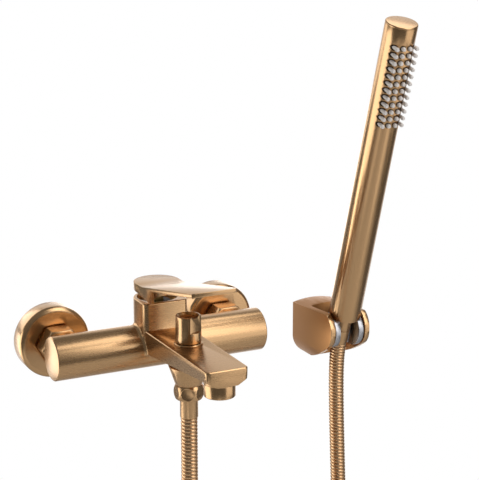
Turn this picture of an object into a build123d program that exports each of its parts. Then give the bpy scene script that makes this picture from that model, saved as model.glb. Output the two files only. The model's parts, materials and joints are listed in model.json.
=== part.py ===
from build123d import *
from math import asin, atan2, cos, hypot, pi, radians, sin, sqrt, tan
import os

# Wall-mounted single-lever bath mixer with a pull-up diverter, a metal hose, a stick hand shower and a
# tilting wall bracket. Sizes are in millimetres: X runs to the right, Y into the wall and Z up.
# The origin lies on the wall, midway between the two inlets and level with the cross tube's axis.

# Clearances shared by all pieces
seat_gap = 0.3
running_gap = 0.05
thread_gap = 0.1

# Cross tube and inlets
inlet_spacing = 150.0
inlet_x = inlet_spacing / 2
tube_d = 36.0
tube_length = 184.0
tube_edge = 0.8
wall_to_tube = 55.7
tube_y = -wall_to_tube
channel_r = 9.0
channel_z = -4.0
channel_start = 4.2
outlet_way_r = 3.2
aerator_way_r = 3.6
tail_r = 11.0
tail_lip_r = 12.9
tail_lip = 2.5
tail_end_y = -29.0
tail_bore_r = 7.5
collar_r = 14.5
collar_length = 3.5

# Wall unions, union nuts and flanges
union_thread_r = 13.1
union_front_y = -27.0
union_bore_r = 7.0
wall_thread_r = 10.48
wall_thread_length = 20.0
wall_thread_back_y = 4.0
wall_groove_r = 10.1
union_offset = 10.0
nut_across_flats = 30.0
nut_front_y = -35.2
nut_back_y = -19.6
flange_d = 60.5
flange_depth = 17.7
flange_wall = 1.6
flange_edge_r = 4.0
valve_length = 9.0

# Lever tower and cartridge
tower_swell = 1.4
tower_y = -55.0
tower_lead = 0.3
tower_corner_r = 4.5
tower_top = 40.2
tower_rim_r = 1.0
cast_r = 3.0
cartridge_floor = 8.0
cartridge_r = 14.2
cartridge_wall = 1.6
seal_thickness = 1.0
base_thickness = 2.5
disc_thickness = 3.5
slider_height = 7.5
rotor_plate = 1.6
rotor_neck_r = 9.0
rotor_top = 37.6
housing_shoulder = 30.0
housing_neck_top = 37.0
shoulder_thickness = 2.0
moving_disc_r = 8.6
port_r = 2.2
port_x = 4.4
port_y = -3.4
outlet_port_y = 3.4
outlet_port_r = 2.6
retaining_r = 16.5
retaining_height = 6.0
pivot_z = 35.0
lever_arm = 11.0
lever_square = 7.8
lever_tongue = 5.0
lever_top = 51.0
lever_lift = 20.0
pin_r = 1.5

# Handle
handle_r = 19.0
paddle_half = 18.7
handle_top = 53.0
handle_bend_y = -66.0
paddle_front_y = -166.0
paddle_front_top = 73.0
paddle_thickness = 3.2
paddle_corner = 1.8
cheek_front_y = -88.0
arch_r = 16.9
hub_gap_at_axis = 46.6
hub_gap_slope = 6.6
hub_level_y = -77.0
hub_wall = 2.4
hub_roof = 3.4
stem_boss_r = 7.5
stem_boss_foot = 41.5
grub_r = 1.9
grub_z = 49.6

# Bath spout
spout_drop = 0.3
spout_front_y = -187.3
spout_half = 17.5
spout_root_step = 1.0
spout_root_y = -66.0
spout_rim = 3.2
spout_flank = 1.3
spout_edge = 9.0
spout_keel = 4.5
spout_keel_half = 8.5
spout_rise = 0.095
spout_corner_r = 3.5
spout_edge_r = 1.0

# Diverter and shower outlet, on one upright axis
diverter_y = -116.5
chamber_r = 7.8
chamber_floor = -4.0
guide_foot = 10.8
guide_bore_r = 2.3
guide_flange_r = 11.3
guide_flange = 1.3
stem_r = 2.2
knob_r = 10.3
knob_top_r = 9.9
knob_height = 21.6
knob_dish = 2.4
knob_flat = 7.4
knob_flat_turn = 27.0
knob_ledge = 8.8
plunger_r = 6.6
plunger_height = 2.6
plunger_seal = 2.8
boss_top_r = 16.0
boss_foot_r = 10.9
boss_top = 0.0
boss_rise = 3.0
nipple_r = 10.3
nipple_stub_r = 7.5
nipple_stub = 7.0
nipple_length = 7.5
nipple_bore_r = 4.2

# Aerator
aerator_y = -172.7
aerator_r = 12.1
aerator_foot = -6.8
aerator_thread_r = 11.0
aerator_thread = 6.5
aerator_bore_r = 9.2
aerator_seal = 1.2

# Hose and its fittings
hose_d = 13.5
hose_bore_d = 8.0
rib_depth = 0.9
rib_pitch = 6.0
hose_nut_r = 12.1
hose_nut_end_r = 10.6
hose_nut_flats = 21.9
hose_nut_turn = 30.0
hose_nut_floor = 1.5
hose_washer = 1.8
hose_washer_r = 9.8
ferrule_flange = 1.3
ferrule_r = 7.25
ferrule_length = 17.7
ferrule_bore_r = 4.0

# Hose route below the mixer: down, round a neat hanging coil of two and a half turns, and up again
drop_foot = -103.0
coil_across = 135.2
coil_half_turns = 5
coil_x = 87.5
coil_z = -232.0
coil_start_y = -103.0
coil_pitch = hose_d + 1.0
cord_sides = 8
riser_lead = 26.0
riser_points = ((175.0, -46.7, -88.0), (175.0, -50.2, -127.0), (175.0, -53.4, -165.0))

# Hand shower, along its own axis from its foot
bracket_x = 175.0
handset_tilt = 17.05
handset_foot_y = -58.0
handset_start = 1.7
handset_end = 273.8
handset_r = 14.0
handset_top_r = 13.2
handset_wall = 1.2
cap_rim = 1.5
cap_plug = 3.5
nozzle_rows = 12
nozzle_pitch = 6.0
nozzle_first = 190.8
nozzle_columns = 4
nozzle_across = 6.0
nozzle_r = 1.55
nozzle_tip_r = 1.3
nozzle_proud = 2.5
nozzle_sides = 6
strip_thickness = 1.3
strip_margin = 5.0
strip_half = 11.2
waterway_wall = 1.6
inlet_thread_foot = 10.0
inlet_body_foot = 20.0
inlet_body_top = 32.0
upper_nut_top = 19.0
upper_nut_shoulder = 9.0
upper_nut_r = 12.2
neck_top = 1.2
neck_top_r = 8.0
neck_foot = -11.9
neck_foot_r = 7.5
upper_ferrule_foot = -26.6
upper_ferrule_foot_r = 6.75
ferrule_stem_r = 5.8
ring_groove = 0.3

# Wall bracket
bracket_half = 19.25
bracket_straight = 30.0
bracket_crown = 2.4
bracket_chin = 34.5
pivot_y = -53.4
bracket_pivot_z = -12.6
cheek_r = 15.9
cheek_thickness = 4.35
slot_back_y = -25.5
slot_corner_r = 1.5
holder_r = 15.4
holder_slot = 18.4
holder_bore_r = 8.4
holder_collar_r = 12.8
trunnion_r = 4.0
trunnion_length = 2.6
washer_thickness = 0.8
washer_r = 10.0
pocket_wall = 2.4
pocket_depth = 18.0
pocket_straight = 21.6
plate_thickness = 3.0
bracket_screw_r = 2.2
bracket_screw_head_r = 4.2
bracket_screw_head = 2.6
bracket_screw_length = 25.0
bracket_screw_spacing = 18.0
screw_block = 9.0
screw_block_half = 6.0
screw_block_height = 6.0
bracket_grub_r = 2.0
bracket_grub_length = 10.0

# Places that follow from the sizes above
MIN_Z = (Align.CENTER, Align.CENTER, Align.MIN)
tower_r = tube_d / 2 + tower_swell
tower_front_y = tube_y - tube_d / 2 - tower_lead
spout_top = tube_d / 2 - spout_drop
spout_root_half = tower_r - spout_root_step
TOWER = Location((0, tower_y, 0))
DIVERTER = Location((0, diverter_y, 0))
AERATOR = Location((0, aerator_y, 0))
HANDSET = Location((bracket_x, handset_foot_y, 0), (handset_tilt, 0, 0))
PIVOT = Location((bracket_x, pivot_y, bracket_pivot_z))
base_foot = cartridge_floor + seal_thickness
fixed_disc_foot = base_foot + base_thickness
moving_disc_foot = fixed_disc_foot + disc_thickness + running_gap
slider_foot = moving_disc_foot + disc_thickness
rotor_foot = slider_foot + slider_height + seat_gap
housing_bore_r = cartridge_r - cartridge_wall
cheek_inner = bracket_half - cheek_thickness
bracket_height = bracket_straight + bracket_half
pocket_half = bracket_half - pocket_wall
pocket_foot = -pocket_wall - pocket_straight - pocket_half
bracket_grub_y = -plate_thickness - screw_block / 2
guide_top = spout_top + guide_flange
knob_foot = guide_top + seat_gap
hose_r = hose_d / 2
boss_foot = boss_rise - tube_d / 2
nipple_foot = boss_foot - nipple_length
washer_foot = nipple_foot - hose_washer
flange_foot = washer_foot - ferrule_flange
ferrule_foot = flange_foot - ferrule_length
hose_nut_foot = flange_foot - running_gap - hose_nut_floor
coil_r = coil_across / 2
keel_at_aerator = spout_keel - spout_rise * (aerator_y - spout_front_y)


def rod(radius, start, end):
    """A round bar between two points."""
    run = Vector(*end) - Vector(*start)
    return Plane(origin=start, z_dir=run) * Cylinder(radius, run.length, align=MIN_Z)


def turned(outline, place=Location()):
    """A turned piece: its half outline, as (radius, height) points, spun about an upright axis."""
    face = make_face(Plane.XZ * Polyline(*outline, close=True))
    return place * revolve(face, Axis.Z)


def ring(outer, inner, foot, top, place=Location()):
    """A plain ring or tube about an upright axis."""
    return turned([(inner, foot), (outer, foot), (outer, top), (inner, top)], place)


def drop(radius, foot, top, x=0.0, y=0.0, place=Location()):
    """An upright bar or hole."""
    return place * Pos(x, y, foot) * Cylinder(radius, top - foot, align=MIN_Z)


def upright(sketch, foot, top):
    """A flat outline in X and Y, raised from one height to another."""
    return Pos(0, 0, foot) * extrude(sketch, amount=top - foot)


def side_plate(points, half, x=0.0, bends=()):
    """An outline in Y and Z, given thickness to both sides in X, with rounded bends at chosen points."""
    face = make_face(Plane.YZ * Polyline(*points, close=True))
    for (y, z), radius in bends:
        corner = face.vertices().sort_by_distance((0, y, z))[0]
        face = fillet(corner, radius)
    return Pos(x, 0, 0) * extrude(face, amount=half, both=True)


# Mixer body


def tower_outline(radius, front, corner):
    """Round at the back and square at the front, with rounded front corners."""
    depth = tower_y - front
    back = Circle(radius) & Pos(0, radius / 2) * Rectangle(2 * radius, radius)
    outline = back + Pos(0, -depth / 2) * Rectangle(2 * radius, depth)
    front_corners = outline.vertices().group_by(Axis.Y)[0]
    return Pos(0, tower_y) * fillet(front_corners, corner)


def spout_section(y):
    """The spout's section at one distance: flat top, short upright rim, flanks drawn in to a narrow keel."""
    share = (y - spout_front_y) / (spout_root_y - spout_front_y)
    half = spout_half + share * (spout_root_half - spout_half)
    fall = spout_rise * (y - spout_front_y)
    edge = spout_edge - fall
    keel = spout_keel - fall
    right = [
        (half, spout_top),
        (half, spout_top - spout_rim),
        (half - spout_flank, edge),
        (spout_keel_half, keel),
    ]
    left = [(-x, z) for x, z in reversed(right)]
    plane = Plane(origin=(0, y, 0), x_dir=(1, 0, 0), z_dir=(0, -1, 0))
    return plane * make_face(Polyline(*right, *left, close=True))


def spout():
    """Flat blade with its front corners rounded in plan."""
    blade = loft([spout_section(spout_root_y), spout_section(spout_front_y)], ruled=True)
    front = [(spout_half, spout_front_y), (-spout_half, spout_front_y)]
    root = [(-spout_root_half, spout_root_y), (spout_root_half, spout_root_y)]
    plan = make_face(Polyline(*front, *root, close=True))
    plan = fillet(plan.vertices().group_by(Axis.Y)[0], spout_corner_r)
    blade &= upright(plan, -tube_d, tower_top)
    rim = blade.faces().sort_by(Axis.Z)[-1].edges()
    return fillet([edge for edge in rim if edge.center().Y < tower_front_y], spout_edge_r)


def inlet_tail(x):
    """The short round neck behind the tube that carries the union nut, with its lip and root collar."""
    back = tube_y + tube_d / 2
    neck = rod(tail_r, (x, tube_y, 0), (x, tail_end_y, 0))
    lip = rod(tail_lip_r, (x, tail_end_y - tail_lip, 0), (x, tail_end_y, 0))
    root = Plane(origin=(x, tube_y, 0), z_dir=(0, 1, 0)) * Cone(
        collar_r + 2, tail_r, back + collar_length - tube_y - 1.5, align=MIN_Z
    )
    return neck + lip + root


def water_ways():
    """The drilled ways: inlets to the cartridge seat, seat to the diverter, and diverter to the aerator."""
    ways = []
    channel_y = tower_y + outlet_port_y
    for side in (-1, 1):
        x = side * inlet_x
        port = (side * port_x, tower_y + port_y)
        ways.append(rod(tail_bore_r, (x, tail_end_y + 1, 0), (x, tube_y + 3, 0)))
        ways.append(rod(channel_r, (side * channel_start, channel_y, channel_z), (x, channel_y, channel_z)))
        ways.append(rod(port_r, (*port, -1), (*port, cartridge_floor + 1)))
    low = (0, channel_y, channel_z - 4)
    ways.append(rod(outlet_port_r, low, (0, channel_y, cartridge_floor + 1)))
    ways.append(rod(outlet_way_r, low, (0, diverter_y, 5)))
    ways.append(rod(aerator_way_r, (0, diverter_y, 9.8), (0, aerator_y, 9.8)))
    return ways


def seams_on_tube(body):
    """The curved seams where the tower and the spout leave the cross tube, for the soft corners of a casting."""
    seams = []
    for edge in body.edges():
        away = [hypot(point.Y - tube_y, point.Z) - tube_d / 2 for point in (edge @ 0, edge @ 0.5, edge @ 1)]
        level = abs((edge @ 0).Z - (edge @ 1).Z) < 0.01
        if max(abs(gap) for gap in away) < 0.01 and not level and abs((edge @ 0.5).X) < inlet_x:
            seams.append(edge)
    return seams


def mixer_body():
    tube = Rot(0, 90, 0) * Cylinder(tube_d / 2, tube_length)
    tube = chamfer(tube.edges().filter_by(GeomType.CIRCLE), tube_edge)
    tower = upright(tower_outline(tower_r, tower_front_y, tower_corner_r), 0, tower_top)
    tower = fillet(tower.faces().sort_by(Axis.Z)[-1].edges(), tower_rim_r)
    body = Pos(0, tube_y, 0) * tube + tower + spout()
    body = fillet(seams_on_tube(body), cast_r)
    boss = turned([(0, boss_foot), (boss_foot_r, boss_foot), (boss_top_r, boss_top), (0, boss_top)], DIVERTER)
    body += boss + drop(aerator_r + 0.2, keel_at_aerator, spout_top - 4, place=AERATOR)
    for side in (-1, 1):
        body += inlet_tail(side * inlet_x)
    body -= drop(cartridge_r + running_gap, cartridge_floor, tower_top + 1, place=TOWER)
    body -= drop(retaining_r + thread_gap, housing_shoulder - 0.5, tower_top + 1, place=TOWER)
    body -= drop(chamber_r, chamber_floor, spout_top + 1, place=DIVERTER)
    body -= drop(5.0, boss_foot - 1, chamber_floor + 1, place=DIVERTER)
    body -= drop(nipple_stub_r + running_gap, boss_foot - 1, boss_foot + nipple_stub, place=DIVERTER)
    body -= drop(aerator_r + seat_gap, -tube_d, keel_at_aerator, place=AERATOR)
    body -= drop(aerator_thread_r + thread_gap, keel_at_aerator - 1, keel_at_aerator + 7.5, place=AERATOR)
    for way in water_ways():
        body -= way
    return body


# Wall unions, nuts, seals and flanges


def eccentric_union(side):
    """Two threads on offset axes, joined by a short slanting barrel, with one water way through."""
    x = side * inlet_x

    def circle(radius, y, z):
        return Plane(origin=(x, y, z), z_dir=(0, -1, 0)) * Circle(radius)

    low = -union_offset
    spigot = rod(wall_thread_r, (x, 0, low), (x, wall_thread_length, low))
    spigot += rod(wall_groove_r, (x, 0, low), (x, -wall_thread_back_y, low))
    barrel = loft([circle(12.5, -wall_thread_back_y, low), circle(union_thread_r, -13.0, 0)])
    front = rod(union_thread_r, (x, -13.0, 0), (x, union_front_y, 0))
    way = rod(union_bore_r, (x, wall_thread_length + 1, low), (x, -wall_thread_back_y, low))
    way += loft([circle(union_bore_r, -wall_thread_back_y, low), circle(union_bore_r, -13.0, 0)])
    way += rod(union_bore_r, (x, -13.0, 0), (x, union_front_y - 1, 0))
    return spigot + barrel + front - way


def union_nut(side):
    """Hexagon nut: its thread takes the union, and its shoulder catches the lip of the inlet tail."""
    x = side * inlet_x
    length = nut_back_y - nut_front_y
    plane = Plane(origin=(x, nut_front_y, 0), z_dir=(0, 1, 0))
    hexagon = RegularPolygon(nut_across_flats / 2, 6, major_radius=False, rotation=30)
    block = plane * extrude(hexagon, amount=length)
    corner_r = nut_across_flats / 2 / cos(radians(30))
    barrel = make_face(
        Plane.XZ * Polyline((0, 0), (corner_r - 1.6, 0), (corner_r, 1), (corner_r, length - 1),
                            (corner_r - 1.6, length), (0, length), close=True)
    )
    block &= plane * revolve(barrel, Axis.Z)
    shoulder = tail_end_y - tail_lip - seat_gap
    block -= rod(tail_r + running_gap, (x, nut_front_y - 1, 0), (x, nut_back_y, 0))
    block -= rod(union_thread_r + thread_gap, (x, shoulder, 0), (x, nut_back_y + 1, 0))
    return block


def union_washer(side):
    """Rubber ring with a strainer dome, between the union and the inlet tail."""
    x = side * inlet_x
    disc = rod(union_thread_r - 0.4, (x, tail_end_y, 0), (x, union_front_y, 0))
    return disc - rod(union_bore_r - 1, (x, tail_end_y - 1, 0), (x, union_front_y + 1, 0))


def check_valve(side):
    """Non-return valve cartridge pushed into the inlet tail."""
    x = side * inlet_x
    front = tail_end_y - valve_length
    shell = rod(tail_bore_r - running_gap, (x, front, 0), (x, tail_end_y, 0))
    shell -= rod(tail_bore_r - 1.4, (x, front - 1, 0), (x, tail_end_y - 5, 0))
    shell -= rod(tail_bore_r - 1.4, (x, tail_end_y - 3, 0), (x, tail_end_y + 1, 0))
    for turn in range(0, 360, 90):
        way_x = x + 3.5 * cos(radians(turn))
        way_z = 3.5 * sin(radians(turn))
        shell -= rod(1.4, (way_x, front, way_z), (way_x, tail_end_y, way_z))
    return shell


def flange(side):
    """Wall flange: a pressed cup with a flat front, a rounded rim and a hole for the union."""
    outer_r = flange_d / 2
    outline = Polyline(
        (union_thread_r + seat_gap, flange_depth - flange_wall),
        (outer_r - flange_wall, flange_depth - flange_wall),
        (outer_r - flange_wall, 0),
        (outer_r, 0),
        (outer_r, flange_depth),
        (union_thread_r + seat_gap, flange_depth),
        close=True,
    )
    face = make_face(Plane.XZ * outline)
    rim = face.vertices().sort_by_distance((outer_r, 0, flange_depth))[0]
    face = fillet(rim, flange_edge_r)
    inner = face.vertices().sort_by_distance((outer_r - flange_wall, 0, flange_depth - flange_wall))[0]
    face = fillet(inner, flange_edge_r - flange_wall)
    plane = Plane(origin=(side * inlet_x, 0, 0), z_dir=(0, -1, 0))
    return plane * revolve(face, Axis.Z)


# Cartridge


def ported_disc(radius, foot, top):
    """A round plate with the two inlet ports and the outlet port."""
    disc = drop(radius, foot, top, place=TOWER)
    for x in (-port_x, port_x):
        disc -= drop(port_r, foot - 1, top + 1, x=x, y=port_y, place=TOWER)
    return disc - drop(outlet_port_r, foot - 1, top + 1, y=outlet_port_y, place=TOWER)


def cartridge_seal():
    return ported_disc(cartridge_r - 0.5, cartridge_floor, base_foot)


def cartridge_base():
    return ported_disc(cartridge_r, base_foot, fixed_disc_foot)


def fixed_disc():
    return ported_disc(housing_bore_r - seat_gap, fixed_disc_foot, moving_disc_foot)


def cartridge_housing():
    """Plastic cup open below, with a shoulder and a slimmer neck for the rotor."""
    neck_bore = rotor_neck_r + running_gap
    return turned(
        [
            (housing_bore_r, fixed_disc_foot),
            (cartridge_r, fixed_disc_foot),
            (cartridge_r, housing_shoulder),
            (neck_bore + cartridge_wall, housing_shoulder),
            (neck_bore + cartridge_wall, housing_neck_top),
            (neck_bore, housing_neck_top),
            (neck_bore, housing_shoulder - shoulder_thickness),
            (housing_bore_r, housing_shoulder - shoulder_thickness),
        ],
        TOWER,
    )


def moving_disc():
    disc = drop(moving_disc_r, moving_disc_foot, slider_foot, place=TOWER)
    low = port_y + port_r + 0.4
    high = outlet_port_y + outlet_port_r + 0.4
    recess = Pos(0, tower_y + (low + high) / 2, moving_disc_foot) * Box(
        2 * port_x + 1.6, high - low, 2 * (disc_thickness - 1.5)
    )
    return disc - fillet(recess.edges().filter_by(Axis.Z), 2)


def disc_slider():
    """Plastic carrier on the moving disc, with the slot that the lever's ball end pushes."""
    carrier = drop(moving_disc_r, slider_foot, slider_foot + slider_height, place=TOWER)
    ball_r = lever_tongue / 2 - 0.1
    slot = Box(lever_tongue + 0.4, 2 * ball_r + 0.3, slider_height, align=MIN_Z)
    return carrier - Pos(0, tower_y, slider_foot + 2) * slot


def cartridge_rotor():
    """Turns with the lever: a plate under the shoulder and a neck with the lever's slot and its pin hole."""
    rotor = drop(housing_bore_r - seat_gap, rotor_foot, rotor_foot + rotor_plate, place=TOWER)
    rotor += drop(rotor_neck_r, rotor_foot, rotor_top, place=TOWER)
    front = (pivot_z - rotor_foot) * sin(radians(lever_lift)) + lever_tongue / 2 + 0.5
    back = lever_square / 2 + 1.4
    slot = Box(lever_square + 0.5, front + back, 2 * rotor_top)
    rotor -= Pos(0, tower_y + (back - front) / 2, rotor_top) * slot
    return rotor - rod(pin_r + running_gap, (-cartridge_r, tower_y, pivot_z), (cartridge_r, tower_y, pivot_z))


def lever_pin():
    half = rotor_neck_r - 0.6
    return rod(pin_r, (-half, tower_y, pivot_z), (half, tower_y, pivot_z))


def cartridge_lever():
    """Square stem over the pin, and a slim tongue with a ball end below it."""
    stem_foot = pivot_z - 4
    stem = Pos(0, tower_y, stem_foot) * Box(lever_square, lever_square, lever_top - stem_foot, align=MIN_Z)
    stem = chamfer(stem.faces().sort_by(Axis.Z)[0].edges(), 1.2)
    ball_z = pivot_z - lever_arm
    tongue = Pos(0, tower_y, ball_z) * Box(lever_tongue, lever_tongue - 1.6, lever_arm - 3, align=MIN_Z)
    ball = Pos(0, tower_y, ball_z) * Rot(0, 90, 0) * Cylinder(lever_tongue / 2 - 0.1, lever_tongue)
    lever = stem + tongue + ball
    return lever - rod(pin_r + running_gap, (-cartridge_r, tower_y, pivot_z), (cartridge_r, tower_y, pivot_z))


def retaining_nut():
    """Threaded ring that holds the cartridge down, with four spanner notches."""
    inner = rotor_neck_r + running_gap + cartridge_wall + running_gap
    nut = ring(retaining_r, inner, housing_shoulder, housing_shoulder + retaining_height, TOWER)
    for turn in range(45, 360, 90):
        notch = Pos(retaining_r, 0, housing_shoulder + retaining_height) * Box(5, 3.5, 4)
        nut -= TOWER * Rot(0, 0, turn) * notch
    return nut


# Handle


def handle():
    """Long flat paddle that rises over the spout, with a skirt below it that ends in an arch at the front."""
    slope = (paddle_front_top - handle_top) / (handle_bend_y - paddle_front_y)
    drop_z = paddle_thickness * sqrt(1 + slope**2)
    back_y = tower_y + 2 * handle_r
    plate = side_plate(
        [
            (back_y, handle_top),
            (handle_bend_y, handle_top),
            (paddle_front_y, paddle_front_top),
            (paddle_front_y, paddle_front_top - drop_z),
            (handle_bend_y, handle_top - paddle_thickness),
            (back_y, handle_top - paddle_thickness),
        ],
        tower_r,
        bends=(((handle_bend_y, handle_top), 70.0), ((handle_bend_y, handle_top - paddle_thickness), 74.0)),
    )
    reach = tower_y - paddle_front_y
    blade = Pos(0, tower_y - reach / 2) * Rectangle(2 * paddle_half, reach)
    blade = chamfer(blade.vertices().group_by(Axis.Y)[0], paddle_corner)
    plan = blade + Pos(0, tower_y) * Circle(handle_r)
    plate &= upright(plan, 0, 2 * paddle_front_top)
    rise = tan(radians(hub_gap_slope))
    low_front = hub_gap_at_axis + rise * (hub_level_y - tower_y)
    low_back = hub_gap_at_axis + rise * (back_y - tower_y)
    roof_front = handle_top - 1 + slope * (handle_bend_y - cheek_front_y)
    skirt = side_plate(
        [
            (cheek_front_y, roof_front),
            (cheek_front_y, low_front),
            (hub_level_y, low_front),
            (back_y, low_back),
            (back_y, handle_top - 1),
            (handle_bend_y, handle_top - 1),
        ],
        tower_r,
    )
    hub = skirt & upright(plan, 0, 2 * paddle_front_top)
    hub -= drop(arch_r, 0, 2 * paddle_front_top, y=cheek_front_y)
    wall_y = cheek_front_y + arch_r + hub_wall
    inside = side_plate(
        [
            (wall_y, handle_top - hub_roof),
            (wall_y, 0),
            (back_y, 0),
            (back_y, handle_top - hub_roof),
        ],
        tower_r,
    )
    hub -= inside & drop(handle_r - hub_wall, 0, 2 * handle_top, place=TOWER)
    hub += drop(stem_boss_r, stem_boss_foot, handle_top - 1, place=TOWER)
    socket_side = lever_square + 2 * running_gap
    socket = Pos(0, tower_y, 0) * Box(socket_side, socket_side, lever_top + 0.1, align=MIN_Z)
    screw_hole = rod(grub_r + running_gap, (0, tower_y, grub_z), (0, back_y, grub_z))
    return plate + hub - socket - screw_hole


def handle_grub_screw():
    start = tower_y + lever_square / 2 + running_gap
    screw = rod(grub_r, (0, start, grub_z), (0, start + 8, grub_z))
    key = Plane(origin=(0, start + 8, grub_z), z_dir=(0, -1, 0))
    return screw - key * extrude(RegularPolygon(1.0, 6), amount=2.5)


def index_plug():
    """Small plug over the grub screw, flush with the back of the hub."""
    end = tower_y + sqrt(handle_r**2 - grub_r**2) - 0.1
    return rod(grub_r, (0, end - 2.4, grub_z), (0, end, grub_z))


# Diverter


def diverter_guide():
    """Bush screwed into the spout's top, with a thin collar round the knob's foot."""
    return turned(
        [
            (guide_bore_r, guide_foot),
            (chamber_r - running_gap, guide_foot),
            (chamber_r - running_gap, spout_top),
            (guide_flange_r, spout_top),
            (guide_flange_r, guide_top - 0.5),
            (guide_flange_r - 0.5, guide_top),
            (guide_bore_r, guide_top),
        ],
        DIVERTER,
    )


def diverter_knob():
    """Slightly tapered knob with a dished top and a thumb flat that ends in a ledge."""
    top = knob_foot + knob_height
    knob = turned(
        [
            (0, knob_foot),
            (knob_r - 0.5, knob_foot),
            (knob_r, knob_foot + 0.5),
            (knob_top_r, top - 0.4),
            (knob_top_r - 0.4, top),
            (knob_top_r - 1.3, top),
            (knob_top_r - 2.6, top - knob_dish * 0.75),
            (0, top - knob_dish),
        ],
        DIVERTER,
    )
    flat = Pos(0, -knob_flat - knob_r, knob_foot + knob_ledge) * Box(
        4 * knob_r, 2 * knob_r, 2 * knob_height, align=MIN_Z
    )
    knob -= DIVERTER * Rot(0, 0, knob_flat_turn) * flat
    return knob - drop(stem_r, knob_foot - 1, knob_foot + 8, place=DIVERTER)


def diverter_stem():
    return drop(stem_r, chamber_floor + plunger_seal + 0.2, knob_foot + 8, place=DIVERTER)


def diverter_plunger():
    foot = chamber_floor + plunger_seal + 0.2
    plunger = drop(plunger_r, foot, foot + plunger_height, place=DIVERTER)
    return plunger - drop(stem_r, foot - 1, foot + plunger_height + 1, place=DIVERTER)


def plunger_seal_ring():
    foot = chamber_floor + 0.2
    return turned(
        [(0, foot), (plunger_r - 0.8, foot), (plunger_r, foot + 0.8), (plunger_r, foot + plunger_seal),
         (0, foot + plunger_seal)],
        DIVERTER,
    )


# Aerator


def aerator_housing():
    """Ring under the spout, threaded into it, with a rounded lower edge and an inner lip."""
    top = keel_at_aerator + aerator_thread
    outline = Polyline(
        (aerator_bore_r, top),
        (aerator_bore_r, aerator_foot + 1.5),
        (aerator_bore_r - 1.2, aerator_foot + 1.5),
        (aerator_bore_r - 1.2, aerator_foot),
        (aerator_r, aerator_foot),
        (aerator_r, keel_at_aerator),
        (aerator_thread_r, keel_at_aerator),
        (aerator_thread_r, top),
        close=True,
    )
    face = make_face(Plane.XZ * outline)
    edge = face.vertices().sort_by_distance((aerator_r, 0, aerator_foot))[0]
    return AERATOR * revolve(fillet(edge, 0.8), Axis.Z)


def aerator_insert():
    """Plastic core with a square grid of jets."""
    foot = aerator_foot + 1.5
    top = keel_at_aerator + aerator_thread - 0.5
    core = drop(aerator_bore_r - running_gap, foot, top, place=AERATOR)
    for column in range(-2, 3):
        for row in range(-2, 3):
            if hypot(column, row) < 2.5:
                jet = Pos(3.0 * column, 3.0 * row, foot) * Box(1.9, 1.9, 3)
                core -= AERATOR * jet
    return core


def aerator_seal_ring():
    foot = keel_at_aerator + aerator_thread
    bore_top = keel_at_aerator + 7.5
    return ring(aerator_thread_r, aerator_bore_r - 2, foot, bore_top, AERATOR)


# Shower outlet and the hose's lower fittings


def outlet_nipple():
    """Threaded nipple pressed into the boss under the spout."""
    return turned(
        [
            (nipple_bore_r, nipple_foot),
            (nipple_r, nipple_foot),
            (nipple_r, boss_foot),
            (nipple_stub_r, boss_foot),
            (nipple_stub_r, boss_foot + nipple_stub - 0.3),
            (nipple_bore_r, boss_foot + nipple_stub - 0.3),
        ],
        DIVERTER,
    )


def hose_washer_ring():
    return ring(hose_washer_r, nipple_bore_r, washer_foot, nipple_foot, DIVERTER)


def hose_nut():
    """Barrel-shaped nut whose six flats come out round."""
    top = boss_foot - 0.2
    middle = (top + hose_nut_foot) / 2
    side = ThreePointArc((hose_nut_end_r, hose_nut_foot), (hose_nut_r, middle), (hose_nut_end_r, top))
    half = side + Polyline((hose_nut_end_r, top), (0, top), (0, hose_nut_foot), (hose_nut_end_r, hose_nut_foot))
    barrel = revolve(make_face(Plane.XZ * half), Axis.Z)
    flats = RegularPolygon(hose_nut_flats / 2, 6, major_radius=False, rotation=hose_nut_turn)
    barrel &= Pos(0, 0, hose_nut_foot) * extrude(flats, amount=top - hose_nut_foot)
    barrel -= drop(nipple_r + thread_gap, flange_foot - running_gap, top + 1)
    return DIVERTER * (barrel - drop(ferrule_r + running_gap, hose_nut_foot - 1, top))


def lower_ferrule():
    """Smooth sleeve crimped on the hose, with the flange that the nut pulls up."""
    return turned(
        [
            (ferrule_bore_r, ferrule_foot),
            (ferrule_r - 0.5, ferrule_foot),
            (ferrule_r, ferrule_foot + 0.6),
            (ferrule_r, flange_foot),
            (hose_washer_r, flange_foot),
            (hose_washer_r, washer_foot),
            (ferrule_bore_r, washer_foot),
        ],
        DIVERTER,
    )


# Hose


def ribbed(path):
    """A hose with its bore along a path. Each rib is a ruled loft through four circles on one X axis."""
    count = round(path.length / rib_pitch)
    radii = (hose_r - rib_depth, hose_r, hose_r, hose_r - rib_depth)
    ribs = []
    for rib in range(count):
        stations = [(rib + share) / count for share in (0, 0.3, 0.7, 1)]
        planes = [Plane(origin=path @ s, x_dir=(1, 0, 0), z_dir=path % s) for s in stations]
        ribs.append(loft([plane * Circle(radius) for plane, radius in zip(planes, radii)], ruled=True))
    start = Plane(origin=path @ 0, x_dir=(1, 0, 0), z_dir=path % 0)
    bore = sweep(start * Circle(hose_bore_d / 2), path=path)
    return ribs[0] + ribs[1:] - bore


def biarc(start, start_way, end, end_way):
    """Two arcs that leave one point and reach another, each along its own direction."""
    span = end - start
    ways = start_way + end_way
    along = span.dot(ways)
    bend = 2 * (1 - start_way.dot(end_way))
    reach = span.dot(span)
    if bend < 1e-9:
        size = reach / (2 * along)
    else:
        size = (-along + sqrt(along**2 + bend * reach)) / bend
    middle = (start + end + (start_way - end_way) * size) * 0.5
    first = TangentArc(start, middle, tangent=start_way)
    return [first, TangentArc(middle, end, tangent=first % 1)]


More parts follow.
